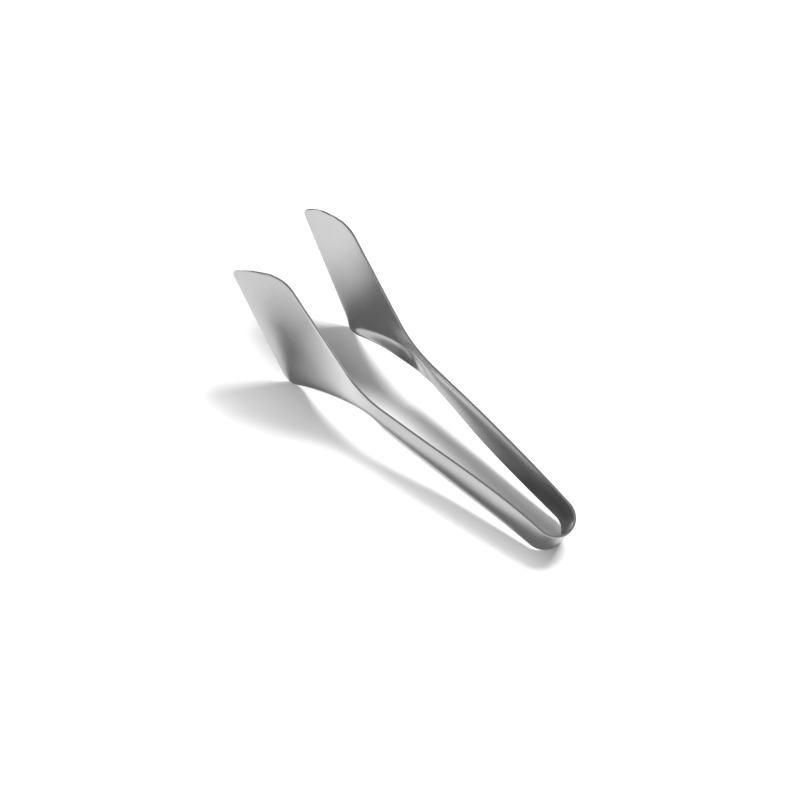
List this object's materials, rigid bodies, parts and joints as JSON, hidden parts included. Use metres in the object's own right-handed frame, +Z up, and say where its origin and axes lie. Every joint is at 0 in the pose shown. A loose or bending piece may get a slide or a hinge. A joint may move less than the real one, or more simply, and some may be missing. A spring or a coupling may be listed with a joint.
{
  "type": "sprung paddle tongs",
  "caption": "Sprung steel tongs bent from sheet: a U-shaped spring bow, hollow arms and shallow dished, upturned paddles that close on what they pick up.",
  "frame": {"origin": "middle of the footprint, on the surface the tongs rest on, with the bow's foot and both heels down", "axes": "+X from the paddles towards the spring bow, +Y from the left arm to the right arm, +Z up"},
  "size_m": [0.207, 0.0532, 0.0975],
  "materials": {
    "spring_bow_steel": "polished",
    "left_arm_steel": "polished",
    "right_arm_steel": "polished",
    "left_blade_steel": "polished",
    "right_blade_steel": "polished"
  },
  "bodies": {
    "bow": {"spring_bow": "spring_bow_steel"},
    "left_side": {"left_arm": "left_arm_steel", "left_blade": "left_blade_steel"},
    "right_side": {"right_arm": "right_arm_steel", "right_blade": "right_blade_steel"}
  },
  "joints": [
    {"name": "left_flex", "type": "hinge", "parent": "bow", "child": "left_side", "pos_m": [0.08998, -0.01054, 0.01434], "axis": [-0.2582, 0, -0.9661], "range_deg": [0, 7], "stiffness_Nm_per_rad": 4},
    {"name": "right_flex", "type": "hinge", "parent": "bow", "child": "right_side", "pos_m": [0.08998, 0.01054, 0.01434], "axis": [0.2582, 0, 0.9661], "range_deg": [0, 7], "stiffness_Nm_per_rad": 4}
  ],
  "couplings": [
    {"joint": "right_flex", "follows": "left_flex", "ratio": 1}
  ]
}
